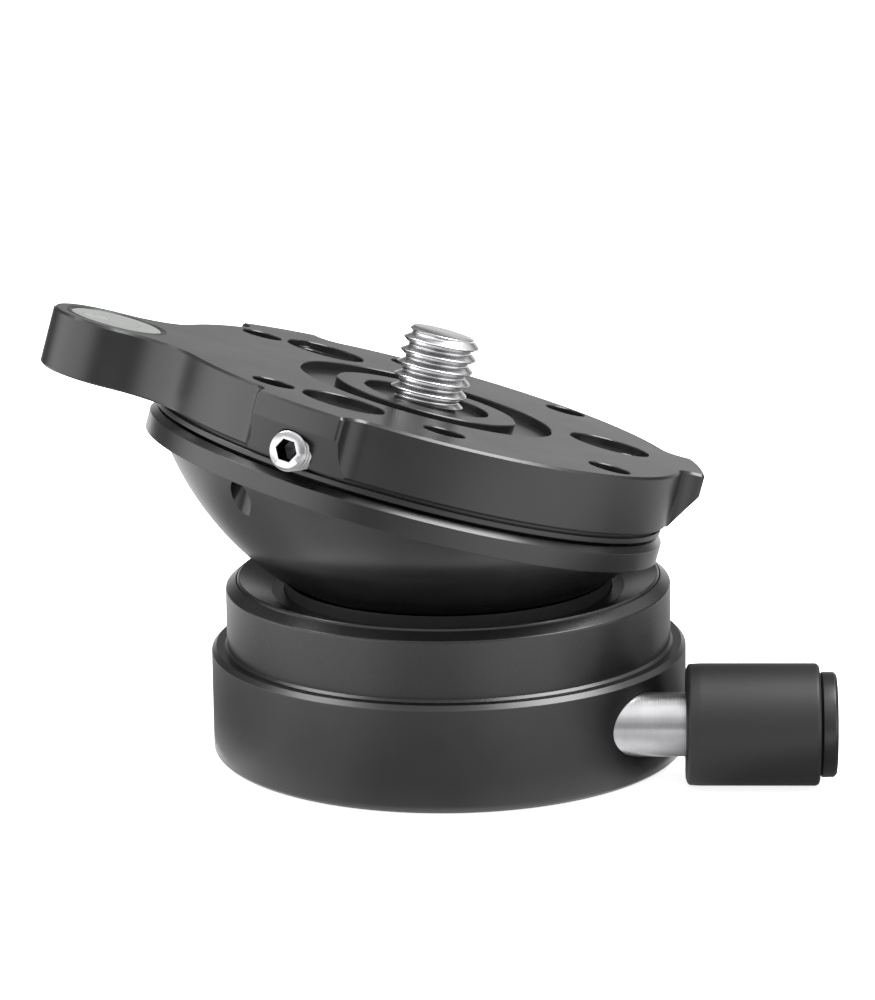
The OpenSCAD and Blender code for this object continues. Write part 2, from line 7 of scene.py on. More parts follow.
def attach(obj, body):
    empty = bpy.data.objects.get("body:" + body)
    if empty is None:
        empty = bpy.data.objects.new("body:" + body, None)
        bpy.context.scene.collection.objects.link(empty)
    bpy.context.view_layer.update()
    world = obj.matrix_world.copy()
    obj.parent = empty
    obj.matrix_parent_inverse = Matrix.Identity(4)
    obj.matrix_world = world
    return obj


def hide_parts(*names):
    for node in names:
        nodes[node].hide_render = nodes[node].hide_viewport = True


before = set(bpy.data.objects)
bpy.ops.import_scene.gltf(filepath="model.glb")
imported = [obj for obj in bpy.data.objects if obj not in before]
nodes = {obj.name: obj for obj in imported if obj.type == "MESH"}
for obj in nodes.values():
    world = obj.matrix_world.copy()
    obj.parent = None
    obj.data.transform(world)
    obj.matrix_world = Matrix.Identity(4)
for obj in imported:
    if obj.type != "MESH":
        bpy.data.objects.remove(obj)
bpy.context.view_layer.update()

MM = 0.001
TURN = 2 * math.pi

# Pose of the half ball and the plate, as in the CAD source
LEAN = math.radians(16.3)
LEAN_AZ = math.radians(18)
BOWL_AZ = math.radians(111)
PLATE_AZ = math.radians(6.7)
BALL_Z = 53.25
LEANED = (
    Matrix.Translation((0, 0, BALL_Z * MM))
    @ Matrix.Rotation(LEAN_AZ, 4, "Z")
    @ Matrix.Rotation(LEAN, 4, "Y")
    @ Matrix.Rotation(-LEAN_AZ, 4, "Z")
)
ON_BOWL = LEANED @ Matrix.Rotation(BOWL_AZ, 4, "Z")
ON_PLATE = LEANED @ Matrix.Rotation(PLATE_AZ, 4, "Z")
ON_CLAMP = Matrix.Translation((0, -17.5 * MM, 7.5 * MM)) @ Matrix.Rotation(TURN / 4, 4, "Y")

# Base: radii, and heights from the underside, in millimetres
BASE_R, RIM_R, CAVITY_R, STEP_H, COVER_T = 30, 28.05, 15.9, 13.5, 2.1

# Plate and half ball: heights from the ball's centre, then radii, in millimetres
PLATE_TOP, RIM_FOOT, SKIRT_FOOT, FLANGE_TOP, FLANGE_FOOT = -8.85, -16.2, -17.4, -17.8, -20.9
WEB_FOOT, SIDE_H = -12.35, -14.55
PLATE_R, TAB_R, SPIGOT_R, LUG_AT, LOCK_AT = 33, 36, 29, 39.7, 26.7
BALL_R, BALL_IN_R, MOUTH_R, EDGE_R = 37.2, 33.2, 14.0, 30.775

# The 3/8 inch camera thread: crest radius and pitch
STUD_R, STUD_PITCH = 4.7625, 25.4 / 16

# Steps round the large turned pieces
LARGE = 192


# Modelling
def clear_selection():
    if bpy.context.object and bpy.context.object.mode != "OBJECT":
        bpy.ops.object.mode_set(mode="OBJECT")
    bpy.ops.object.select_all(action="DESELECT")


def activate(o):
    clear_selection()
    o.select_set(True)
    bpy.context.view_layer.objects.active = o
    return o


def pick(o, test, mode="VERT"):
    """Selects the parts of o whose middle passes the test, and leaves it in edit mode."""
    activate(o)
    bpy.ops.object.mode_set(mode="EDIT")
    bpy.ops.mesh.select_mode(type=mode)
    bpy.ops.mesh.select_all(action="DESELECT")
    bpy.ops.object.mode_set(mode="OBJECT")
    m = o.data
    if mode == "VERT":
        for v in m.vertices:
            v.select = bool(test(v.co / MM))
    else:
        for f in m.polygons:
            f.select = bool(test(f.center / MM, f.normal))
    bpy.ops.object.mode_set(mode="EDIT")


def trace(name, points, closed=False):
    """Draws a chain of corners, in millimetres, by pulling one corner on to the next."""
    clear_selection()
    bpy.ops.mesh.primitive_plane_add(size=MM)
    o = bpy.context.object
    o.name = o.data.name = name
    points = [Vector(p) * MM for p in points]
    bpy.ops.object.mode_set(mode="EDIT")
    bpy.ops.mesh.select_mode(type="VERT")
    bpy.ops.mesh.select_all(action="SELECT")
    bpy.ops.mesh.merge(type="CENTER")
    bpy.ops.transform.translate(value=points[0])
    for a, b in zip(points, points[1:]):
        bpy.ops.mesh.extrude_vertices_move(TRANSFORM_OT_translate={"value": b - a})
    if closed:
        first, last = points[0] / MM, points[-1] / MM
        pick(o, lambda p: min((p - first).length, (p - last).length) < 1e-4)
        bpy.ops.mesh.edge_face_add()
        bpy.ops.mesh.select_all(action="SELECT")
    return o


def tidy(o):
    """Joins corners that meet and turns every face outwards."""
    bpy.ops.object.mode_set(mode="EDIT")
    bpy.ops.mesh.select_all(action="SELECT")
    bpy.ops.mesh.remove_doubles(threshold=1e-6)
    bpy.ops.mesh.normals_make_consistent(inside=False)
    bpy.ops.object.mode_set(mode="OBJECT")
    return o


def rounded(profile, steps=4):
    """A section whose corners (r, z, radius) are turned into arcs."""
    out = []
    count = len(profile)
    for i, corner in enumerate(profile):
        p = Vector((corner[0], corner[1]))
        radius = corner[2] if len(corner) > 2 else 0
        if not radius:
            out.append(p)
            continue
        a = (Vector(profile[i - 1][:2]) - p).normalized()
        b = (Vector(profile[(i + 1) % count][:2]) - p).normalized()
        half = a.angle(b) / 2
        middle = p + (a + b).normalized() * (radius / math.sin(half))
        start, end = p + a * (radius / math.tan(half)), p + b * (radius / math.tan(half))
        for k in range(steps + 1):
            ray = (start - middle).lerp(end - middle, k / steps).normalized()
            out.append(middle + ray * radius)
    return out


def arc(cx, cy, r, start, end, step=3):
    """Corners along an arc, from one angle in degrees to another."""
    n = max(2, math.ceil(abs(end - start) / step))
    angles = [math.radians(start + (end - start) * i / n) for i in range(n + 1)]
    return [Vector((cx + r * math.cos(t), cy + r * math.sin(t))) for t in angles]


def lathe(name, profile, closed=True, steps=160):
    """Spins a section (r, z) about Z into a round piece."""
    o = trace(name, [(p[0], 0, p[1]) for p in rounded(profile)], closed)
    bpy.ops.mesh.select_all(action="SELECT")
    bpy.ops.mesh.spin(steps=steps, angle=TURN, center=(0, 0, 0), axis=(0, 0, 1))
    return tidy(o)


def place(o, matrix):
    """Puts a piece where it belongs and makes that its own zero."""
    activate(o)
    o.matrix_world = matrix @ o.matrix_world
    bpy.ops.object.transform_apply(location=True, rotation=True, scale=True)
    return o


def copies(o, matrices):
    """The piece and its own-mesh copies, one for each place."""
    out = []
    for m in matrices[1:]:
        activate(o)
        bpy.ops.object.duplicate(linked=False)
        out.append(place(bpy.context.object, m))
    return [place(o, matrices[0])] + out


def join(pieces):
    activate(pieces[0])
    for p in pieces[1:]:
        p.select_set(True)
    if len(pieces) > 1:
        bpy.ops.object.join()
    return bpy.context.object


def boolean(o, cutter, operation="DIFFERENCE"):
    """Cuts, joins or trims a piece with another, which is used up."""
    activate(o)
    bpy.ops.object.modifier_add(type="BOOLEAN")
    m = o.modifiers[-1]
    m.operation, m.object, m.solver = operation, cutter, "EXACT"
    bpy.ops.object.modifier_apply(modifier=m.name)
    activate(cutter)
    bpy.ops.object.delete()
    activate(o)
    return o


def finish_faces(o, angle):
    """Rounds the shading over small edges and keeps broad faces flat."""
    activate(o)
    bpy.ops.object.shade_smooth_by_angle(angle=math.radians(angle))
    bpy.ops.object.modifier_add(type="WEIGHTED_NORMAL")
    m = o.modifiers[-1]
    m.keep_sharp, m.weight = True, 70
    bpy.ops.object.modifier_apply(modifier=m.name)
    return o


def around(count, start=0.0):
    return [Matrix.Rotation(start + TURN * i / count, 4, "Z") for i in range(count)]


def at(x, y=0.0, z=0.0):
    return Matrix.Translation((x * MM, y * MM, z * MM))


THIRDS = around(3)

# A hole's bevel, and how far its cutter passes the face
FLARE, PAST = 0.12, 0.2


def drill(r, low, high, flare=FLARE, steps=64):
    """A round cutter along Z that opens into a small bevel at its upper face, unless flare is 0."""
    wide, top = r + flare + PAST, high + 1
    mouth = [(r, high - flare), (wide, high + PAST), (wide, top)] if flare else [(r, top)]
    return lathe("cutter", [(0, low), (r, low)] + mouth + [(0, top)], closed=False, steps=steps)


def hex_cutter(flats, low, high):
    """A six-sided cutter along Z with a pointed floor."""
    clear_selection()
    bpy.ops.mesh.primitive_cylinder_add(
        vertices=6, radius=flats / math.sqrt(3) * MM, depth=(high - low) * MM
    )
    o = bpy.context.object
    pick(o, lambda c, n: n.z < -0.9, "FACE")
    bpy.ops.mesh.inset(thickness=flats * 0.3 * MM, depth=flats * 0.15 * MM)
    bpy.ops.object.mode_set(mode="OBJECT")
    return place(o, at(0, 0, (low + high) / 2))


def thread(name, r, pitch, low, high, envelope, depth=0.54, steps=48):
    """A right-handed screw thread along Z, trimmed to a turned envelope."""
    rise = [(0, 0), (0.0, 0.07), (0.08, 0.13), (0.9, 0.41), (0.98, 0.45), (1, 0.5)]
    section = rise + [(h, 1 - z) for h, z in rise[-2::-1]]
    o = trace(name, [(r + (h - 1) * depth * pitch, 0, z * pitch) for h, z in section])
    bpy.ops.object.mode_set(mode="OBJECT")
    bpy.ops.object.modifier_add(type="SCREW")
    m = o.modifiers[-1]
    m.axis, m.angle, m.screw_offset = "Z", TURN, pitch * MM
    m.steps = m.render_steps = steps
    m.iterations = math.ceil((high - low) / pitch) + 3
    m.use_merge_vertices = True
    bpy.ops.object.modifier_apply(modifier=m.name)
    bpy.ops.object.mode_set(mode="EDIT")
    bpy.ops.mesh.select_all(action="SELECT")
    bpy.ops.mesh.remove_doubles(threshold=2e-6)
    bpy.ops.mesh.select_mode(type="EDGE")
    bpy.ops.mesh.select_all(action="DESELECT")
    bpy.ops.mesh.select_non_manifold()
    bpy.ops.mesh.edge_face_add()
    tidy(o)
    place(o, at(0, 0, low - 1.6 * pitch))
    return boolean(o, lathe("envelope", envelope, closed=False, steps=96), "INTERSECT")


# Base
housing = lathe(
    "base_shell",
    [
        (23.05, 0, 0.1), (29.6, 0, 0.2), (BASE_R, 0.4, 0.2), (BASE_R, 12.9, 0.14), (29.4, STEP_H, 0.14),
        (24.65, STEP_H), (24.65, 12.2), (CAVITY_R, 12.2), (CAVITY_R, COVER_T), (23.05, COVER_T),
    ],
    steps=LARGE,
)
bore = place(drill(4.05, -19.2, 40, 0), ON_CLAMP)
boolean(housing, bore)
ring = lathe(
    "socket_rim",
    [
        (22.6, 12.3), (24.6, 12.3), (24.6, STEP_H), (28.35, STEP_H), (RIM_R, 13.8), (RIM_R, 20.95, 0.4),
        (26.78, 21.96), (26.68, 21.8), (26.58, 22.07), (26.35, 22.3, 0.1), (22.25, 20.5, 0.2),
        (20.65, 20.5, 0.15), (20.65, 18.92), (14.6, 18.92, 0.2), (14.6, 16.7), (CAVITY_R, 16.7),
        (CAVITY_R, STEP_H), (22.6, STEP_H),
    ],
    steps=LARGE,
)

# Underside
CASE_SCREWS = [m @ at(19.6) for m in around(3, TURN / 4)]
cover = lathe("cover", [(7.02, 0, 0.1), (23, 0, 0.15), (23, COVER_T, 0.1), (7.02, COVER_T)])
sink = lathe(
    "cutter",
    [(0, -1), (2.98, -1), (2.98, 0.03), (1.55, 1.46), (1.55, 3), (0, 3)],
    closed=False,
    steps=48,
)
boolean(cover, join(copies(sink, CASE_SCREWS)))
case_screw = lathe(
    "case_screw",
    [(0, 0.04), (2.7, 0.04, 0.1), (2.88, 0.14, 0.06), (1.5, 1.5), (1.5, 16.2), (1.2, 16.5), (0, 16.5)],
    closed=False,
    steps=48,
)
boolean(case_screw, place(hex_cutter(2, -1, 1), Matrix.Rotation(TURN / 2, 4, "X")))
case_screws = copies(case_screw, CASE_SCREWS)
bush = lathe(
    "bush",
    [
        (0, 0), (7, 0, 0.15), (7, COVER_T), (8.8, COVER_T), (8.8, 3.6), (7, 3.6), (7, 9.65, 0.2),
        (0, 9.65),
    ],
    closed=False,
    steps=96,
)
bush_thread = thread(
    "cutter",
    4.8,
    STUD_PITCH,
    -0.5,
    8.6,
    [(0, -0.5), (5.4, -0.5), (4.9, 0), (4.8, 0.1), (4.8, 8.2), (3.9, 8.6), (0, 8.6)],
)
boolean(bush, bush_thread)

# Clamp knob: distances along the clamp's axis, and the core's radius
SLEEVE_END, GRIP_LOW, GRIP_HIGH, KNOB_END, CORE_R = 30.97, 29.67, 45.97, 48.07, 5.2
sleeve = lathe(
    "sleeve",
    [(2.05, 0.4), (3.95, 0.4), (3.95, SLEEVE_END, 0.25), (2.05, SLEEVE_END)],
    steps=96,
)
place(sleeve, ON_CLAMP)
cup_room = lathe(
    "cutter",
    [(0, 3.03), (15.52, 3.03), (15.52, 4.97), (13.12, 8.77), (13.12, 15.7), (0, 15.7)],
    closed=False,
    steps=128,
)
boolean(sleeve, cup_room)
grip = lathe(
    "grip_sleeve",
    [
        (CORE_R, GRIP_LOW), (6.6, GRIP_LOW, 0.3), (7.42, 29.95, 0.5), (7.5, 31.4, 0.5),
        (7.5, GRIP_HIGH, 0.55), (CORE_R, GRIP_HIGH),
    ],
    steps=128,
)
place(grip, ON_CLAMP)
end_cap = lathe(
    "knob_end",
    [
        (0, 39.97), (2, 39.97), (2, 31.67), (4.05, 31.67), (4.05, GRIP_LOW), (CORE_R, GRIP_LOW),
        (CORE_R, GRIP_HIGH), (6.1, GRIP_HIGH), (6.45, 46.3, 0.12), (6.45, 47.7, 0.25),
        (6.1, KNOB_END, 0.25), (3.4, KNOB_END, 0.1), (3.25, 47.92, 0.1), (0, 47.92),
    ],
    closed=False,
    steps=128,
)
place(end_cap, ON_CLAMP)


# Half ball
def dip(across, r):
    """The angle below level where a ball of radius r has the given distance from its axis."""
    return -math.degrees(math.acos(across / r))


outside = arc(0, 0, BALL_R, dip(MOUTH_R, BALL_R), dip(EDGE_R, BALL_R), 1.2)
inside = arc(0, 0, BALL_IN_R, dip(26.8, BALL_IN_R), dip(MOUTH_R, BALL_IN_R), 1.2)
flange = [
    (33, FLANGE_FOOT, 0.12), (33, -18.55, 0.12), (32.25, FLANGE_TOP, 0.12), (SPIGOT_R, FLANGE_TOP),
    (SPIGOT_R, -12.45, 0.2), (24.4, -12.45, 0.2), (24.4, -19.6),
]
bowl = lathe(
    "bowl_shell",
    [tuple(p) for p in outside] + flange + [tuple(p) for p in inside],
    steps=LARGE,
)
spanner_hole = drill(1.65, -37, FLANGE_FOOT + 0.4, 0, 48)
boolean(bowl, join(copies(spanner_hole, [m @ at(28.975) for m in THIRDS])))
place(bowl, ON_BOWL)


# Top plate
def arm(half, fillet, tip):
    """One side of the plate's outline, round an arm along +X: fillet, tip, fillet."""
    cy = half + fillet
    cx = math.sqrt((PLATE_R + fillet) ** 2 - cy**2)
    lean = math.degrees(math.atan2(cy, cx))
    return (
        arc(cx, -cy, fillet, 180 - lean, 90, 8)
        + tip
        + arc(cx, cy, fillet, -90, lean - 180, 8),
        lean,
    )


def turned(points, degrees):
    c, s = math.cos(math.radians(degrees)), math.sin(math.radians(degrees))
    return [Vector((c * p.x - s * p.y, s * p.x + c * p.y)) for p in points]


TAB_HALF, TAB_CORNER, TAB_FILLET = 5.9, 0.6, 2.5
LUG_HALF, LUG_FILLET = 7.9, 9


def plate_outline():
    """The plate's edge: three tabs, the lug, and the round rim between them."""
    y = TAB_HALF - TAB_CORNER
    x = math.sqrt((TAB_R - TAB_CORNER) ** 2 - y**2)
    sweep = math.degrees(math.atan2(y, x))
    tab_tip = (
        arc(x, -y, TAB_CORNER, -90, -sweep, 15)
        + arc(0, 0, TAB_R, -sweep, sweep)[1:-1]
        + arc(x, y, TAB_CORNER, sweep, 90, 15)
    )
    tab, tab_lean = arm(TAB_HALF, TAB_FILLET, tab_tip)
    lug, lug_lean = arm(LUG_HALF, LUG_FILLET, arc(LUG_AT, 0, LUG_HALF, -90, 90, 3))
    out = []
    stops = [(0, tab, tab_lean), (120, tab, tab_lean), (180, lug, lug_lean), (240, tab, tab_lean)]
    for i, (angle, shape, lean) in enumerate(stops):
        out += turned(shape, angle)
        after, _, next_lean = stops[(i + 1) % 4]
        end = (after if after > angle else after + 360) - next_lean
        out += arc(0, 0, PLATE_R, angle + lean, end, 1.5)[1:-1]
    clean = [out[0]]
    for p in out[1:]:
        if (p - clean[-1]).length > 0.02:
            clean.append(p)
    return clean


EDGE = 0.3
plate = trace("plate_body", [(p.x, p.y, RIM_FOOT + EDGE) for p in plate_outline()], closed=True)
bpy.ops.mesh.select_all(action="SELECT")
bpy.ops.mesh.edge_face_add()
plate_rise = (PLATE_TOP - RIM_FOOT - 2 * EDGE) * MM
bpy.ops.mesh.extrude_region_move(TRANSFORM_OT_translate={"value": (0, 0, plate_rise)})
tidy(plate)
for side in (1, -1):
    pick(plate, lambda c, n: n.z * side > 0.9, "FACE")
    bpy.ops.mesh.inset(thickness=EDGE * MM, depth=EDGE * MM)
    bpy.ops.object.mode_set(mode="OBJECT")

# The tabs' lower faces slope in to the rim
FACE_H, FOOT_R, WEDGE_R = 2.8, 33.15, 40
slope = (TAB_R - FOOT_R) / (PLATE_TOP - FACE_H - RIM_FOOT)
wedge = trace(
    "wedge",
    [
        (FOOT_R - slope, 0, RIM_FOOT - 1),
        (WEDGE_R, 0, RIM_FOOT - 1),
        (WEDGE_R, 0, RIM_FOOT + (WEDGE_R - FOOT_R) / slope),
    ],
    closed=True,
)
bpy.ops.mesh.select_all(action="SELECT")
bpy.ops.mesh.edge_face_add()
bpy.ops.mesh.spin(steps=24, angle=TURN / 10, center=(0, 0, 0), axis=(0, 0, 1))
tidy(wedge)
place(wedge, Matrix.Rotation(TURN / 20, 4, "Z"))
boolean(plate, join(copies(wedge, THIRDS)))

# Places of the small holes, as radius and angle, read from the photo
HOLES = [(29.5, 46), (28, 90), (29, 134.7), (28, 223), (24.4, 270.5), (29.1, 317)]
HOLE_R, HOLE_DEPTH = 2.6, 2.4
RECESS_R, RECESS_DEPTH, RECESS_AT = 5.1, 0.9, 23.8
pockets = []
for r, degrees in HOLES:
    spot = Matrix.Rotation(math.radians(degrees), 4, "Z") @ at(r)
    pockets.append(place(drill(HOLE_R, PLATE_TOP - HOLE_DEPTH, PLATE_TOP), spot))
recess = drill(RECESS_R, PLATE_TOP - RECESS_DEPTH, PLATE_TOP, steps=96)
pockets += copies(recess, [m @ at(RECESS_AT) for m in THIRDS])

# The ring groove, with its bevels, and the recess round the stud
groove_floor, groove_wall = PLATE_TOP - 1, PLATE_TOP - FLARE
groove_mouth, groove_end = PLATE_TOP + PAST, PLATE_TOP + 1
groove = lathe(
    "cutter",
    [
        (11.5, groove_floor), (16.2, groove_floor), (16.2, groove_wall), (16.52, groove_mouth),
        (16.52, groove_end), (11.18, groove_end), (11.18, groove_mouth), (11.5, groove_wall),
    ],
    steps=128,
)
pockets.append(groove)
pockets.append(drill(8, PLATE_TOP - 0.8, PLATE_TOP, steps=96))

# The lug's pocket for the level, and the seat of the half ball's spigot
pockets.append(place(drill(6.3, PLATE_TOP - 5, PLATE_TOP, 0.1, 96), at(-LUG_AT)))
pockets.append(drill(SPIGOT_R + 0.05, RIM_FOOT - 3, WEB_FOOT - 1, 0, 160))
for pocket in pockets:
    boolean(plate, pocket)
lock_bore = drill(2, WEB_FOOT - 2, PLATE_TOP - RECESS_DEPTH)
bores = copies(lock_bore, [m @ at(LOCK_AT) for m in THIRDS])
bores.append(drill(4, WEB_FOOT - 2, PLATE_TOP, 0))
boolean(plate, join(bores))
skirt = lathe(
    "skirt",
    [
        (29.3, SKIRT_FOOT), (32.5, SKIRT_FOOT, 0.12), (32.5, SKIRT_FOOT + 0.7, 0.12),
        (31.7, SKIRT_FOOT + 0.7), (31.7, RIM_FOOT + 0.6), (29.3, RIM_FOOT + 0.6),
    ],
    steps=LARGE,
)
boolean(plate, skirt, "UNION")
ALONG_TAB = at(0, 0, SIDE_H) @ Matrix.Rotation(TURN / 4, 4, "Y")
side_bore = place(drill(2.5, 28, 40, 0, 64), ALONG_TAB)
boolean(plate, join(copies(side_bore, THIRDS)))
place(plate, ON_PLATE)

# Stud: a threaded end, and a plain shank down to its nut
stud_low, stud_high = PLATE_TOP - 0.8, PLATE_TOP + 8.6
STUD_CHAMFER, SHANK_R = 0.9, 3.95
stud = thread(
    "stud_thread",
    STUD_R,
    STUD_PITCH,
    stud_low,
    stud_high,
    [
        (0, stud_low), (SHANK_R, stud_low), (SHANK_R, stud_low + 0.35), (STUD_R, stud_low + 0.8),
        (STUD_R, stud_high - STUD_CHAMFER), (3.85, stud_high), (0, stud_high),
    ],
)
place(stud, Matrix.Rotation(TURN / 2, 4, "Z"))
shank = lathe(
    "shank",
    [
        (0, WEB_FOOT - 3.6), (3.7, WEB_FOOT - 3.6), (SHANK_R, WEB_FOOT - 3.3),
        (SHANK_R, stud_low + 0.3), (0, stud_low + 0.3),
    ],
    closed=False,
    steps=64,
)
stud = place(join([stud, shank]), ON_PLATE)

# Side screws
SCREW_R, SCREW_PITCH = 2.5, 0.8
SIDE_LOW = SPIGOT_R + 0.1


def side_screw(end):
    """A socket set screw along Z, from its inner end out to the given end."""
    o = thread(
        "side_screw",
        SCREW_R,
        SCREW_PITCH,
        SIDE_LOW,
        end,
        [
            (0, SIDE_LOW), (1.7, SIDE_LOW), (SCREW_R, SIDE_LOW + 0.8), (SCREW_R, end - 0.35),
            (2.15, end), (0, end),
        ],
    )
    return boolean(o, hex_cutter(2.5, end - 2.4, end + 1))


# The screw in the right tab is in as far as its slope, the others stand proud
SIDE_ENDS = (33.86, 35.9, 35.9)
SIDE_PLACES = [ON_PLATE @ m @ ALONG_TAB for m in THIRDS]
side_screws = [place(side_screw(end), m) for end, m in zip(SIDE_ENDS, SIDE_PLACES)]

# Lock screws
lock_top = WEB_FOOT + 2.2
lock = lathe(
    "lock_screw",
    [
        (0, WEB_FOOT), (1.6, WEB_FOOT), (2, WEB_FOOT + 0.3), (2, lock_top - 0.3, 0.08),
        (1.7, lock_top, 0.08), (0, lock_top),
    ],
    closed=False,
    steps=64,
)
boolean(lock, hex_cutter(2, lock_top - 1.2, lock_top + 1))
place(lock, at(LOCK_AT))
lock_screws = copies(lock, [ON_PLATE @ m for m in THIRDS])

# Level: heights from the plate's top
LUG = ON_PLATE @ at(-LUG_AT, 0, PLATE_TOP)
LENS_R = 5.7
cup = lathe(
    "level_ring",
    [
        (0, -5), (6.3, -5), (6.3, -0.12, 0.08), (6.15, 0, 0.05), (5.85, 0, 0.05), (LENS_R, -0.14, 0.05),
        (LENS_R, -3.8), (0, -3.8),
    ],
    closed=False,
    steps=96,
)
place(cup, LUG)
lens = lathe(
    "level_window",
    [
        (0, -0.82), (2.6, -0.95), (5.1, -1.4), (LENS_R, -1.4), (LENS_R, -0.12, 0.1), (5.5, -0.04, 0.1),
        (0, 0),
    ],
    closed=False,
    steps=96,
)
place(lens, LUG)


# Materials
class Socket:
    """A node's output, with arithmetic."""

    def __init__(self, tree, out):
        self.tree, self.out = tree, out

    def node(self, kind, *inputs, output=0, **settings):
        n = self.tree.nodes.new("ShaderNode" + kind)
        for key, value in settings.items():
            setattr(n, key, value)
        for key, value in inputs:
            socket = n.inputs[key]
            if isinstance(value, Socket):
                self.tree.links.new(value.out, socket)
            else:
                socket.default_value = value
        return Socket(self.tree, n.outputs[output])

    def math(self, operation, *others):
        return self.node("Math", *enumerate((self, *others)), operation=operation)

    def __add__(self, o):
        return self.math("ADD", o)

    def __sub__(self, o):
        return self.math("SUBTRACT", o)

    def __mul__(self, o):
        return self.math("MULTIPLY", o)

    def __rsub__(self, o):
        return self.node("Math", (0, o), (1, self), operation="SUBTRACT")

    __radd__, __rmul__ = __add__, __mul__

    def band(self, low, high):
        """0 below low and 1 above high, smoothly between."""
        return self.node("MapRange", (0, self), (1, low), (2, high), interpolation_type="SMOOTHSTEP")

    def colours(self, a, b):
        """A colour between two, by this value."""
        return self.node("Mix", (0, self), (6, (*a, 1)), (7, (*b, 1)), data_type="RGBA", output=2)


class Finish:
    """A material whose shader is set socket by socket."""

    def __init__(self, name, **fixed):
        self.material = bpy.data.materials.new(name)
        self.material.use_nodes = True
        self.tree = self.material.node_tree
        self.shader = self.tree.nodes["Principled BSDF"]
        for key, value in fixed.items():
            self.set(key.replace("_", " "), value)

    def set(self, key, value):
        socket = self.shader.inputs[key]
        if isinstance(value, Socket):
            self.tree.links.new(value.out, socket)
        elif isinstance(value, tuple) and len(value) == 3 and socket.type == "RGBA":
            socket.default_value = (*value, 1)
        else:
            socket.default_value = value

    def place(self, matrix=None):
        """Object coordinates, in millimetres, in a piece's own upright frame."""
        n = self.tree.nodes.new("ShaderNodeTexCoord")
        p = Socket(self.tree, n.outputs["Object"])
        m = (matrix or Matrix()).inverted()
        return p.node(
            "Mapping",
            (0, p),
            (1, tuple(m.translation / MM)),
            (2, tuple(m.to_euler())),
            (3, (1 / MM,) * 3),
        )

    def noise(self, p, scale, detail=3.0, rough=0.5):
        return p.node("TexNoise", ("Vector", p), ("Scale", scale), ("Detail", detail), ("Roughness", rough))

    def bump(self, height, strength, distance):
        bumps = height.node("Bump", ("Strength", strength), ("Distance", distance), ("Height", height))
        self.set("Normal", bumps)


def split(p):
    return [p.node("SeparateXYZ", (0, p), output=i) for i in range(3)]


def polar(p):
    """Distance from the Z axis, the angle round it, and the height."""
    x, y, z = split(p)
    return (x * x + y * y).math("SQRT"), y.math("ARCTAN2", x), z


def anodised(name, matrix, dark, light, rough, turned_lines=0.0):
    """Satin black anodised metal: fine grain, and faint turning lines where it was turned."""
    f = Finish(name, Metallic=0.0)
    p = f.place(matrix)
    grain = f.noise(p, 9.0, 4.0, 0.6)
    cloud = f.noise(p, 0.16, 2.0)
    f.set("Base Color", (cloud * 0.6 + grain * 0.4).band(0.3, 0.7).colours(dark, light))
    height = grain
    if turned_lines:
        r, _, z = polar(p)
        lines = f.noise(r.node("CombineXYZ", (0, r), (2, z)), 14.0, 2.0)
        height = grain * 0.5 + lines * turned_lines
    f.set("Roughness", (grain - 0.5) * 0.06 + (cloud - 0.5) * 0.06 + rough)
    f.bump(height, 0.015, 0.00003)
    return f.material


def steel(name, matrix, colour, rough, painted_root_shade=None):
    """Turned bright steel: fine lines round the axis in its gloss, and painted shade darkening thread roots
    and sockets.
    """
    f = Finish(name, Metallic=1.0)
    p = f.place(matrix)
    r, _, z = polar(p)
    lines = f.noise(p.node("CombineXYZ", (0, r), (2, z)), 22.0, 3.0, 0.6)
    tone_and_painted_shade = f.noise(p, 0.5, 2.0).band(0.3, 0.7) * 0.1
    # Painted shade: the thread roots and the inside of the sockets are darkened, the end face is not
    if painted_root_shade:
        low, high, end, crown, depth = painted_root_shade
        tone_and_painted_shade = tone_and_painted_shade + (1 - r.band(low, high)) * (1 - z.band(end - crown, end - crown / 2)) * depth
    f.set("Base Color", tone_and_painted_shade.colours(colour, (0, 0, 0)))
    f.set("Roughness", (lines - 0.5) * 0.1 + rough)
    return f.material


def plain(name, matrix, colour, rough, grain=6.0, metallic=0.0, gloss=0.5):
    """A simple moulded or turned finish with a little variation."""
    f = Finish(name, Metallic=metallic, Specular_IOR_Level=gloss)
    p = f.place(matrix)
    n = f.noise(p, grain, 3.0)
    f.set("Base Color", n.band(0.3, 0.7).colours(tuple(c * 0.85 for c in colour), colour))
    f.set("Roughness", (n - 0.5) * 0.15 + rough)
    f.bump(n, 0.1, 0.00004)
    return f.material


BLACK, CHARCOAL = (0.0045, 0.0045, 0.0048), (0.007, 0.007, 0.0074)
base_black = anodised("base_anodised", None, BLACK, CHARCOAL, 0.3, 0.4)
ring_black = anodised("ring_anodised", None, BLACK, CHARCOAL, 0.28, 0.25)
bowl_black = anodised("bowl_anodised", ON_BOWL, BLACK, CHARCOAL, 0.24, 0.25)
plate_black = anodised("plate_anodised", ON_PLATE, BLACK, CHARCOAL, 0.3)
cap_black = anodised("knob_anodised", ON_CLAMP, BLACK, CHARCOAL, 0.34, 0.4)
rubber = plain("grip_rubber", ON_CLAMP, (0.009, 0.009, 0.009), 0.48, 14.0, gloss=0.4)
bright = steel("bright_sleeve", ON_CLAMP, (0.42, 0.42, 0.43), 0.28)
bush_steel = steel("bush_steel", None, (0.7, 0.7, 0.71), 0.28)
# Painted shade in the stud's thread roots
stud_painted_shade = (3.9, 4.5, stud_high, STUD_CHAMFER, 0.25)
stud_steel = steel("stud_steel", ON_PLATE, (0.74, 0.74, 0.75), 0.26, stud_painted_shade)
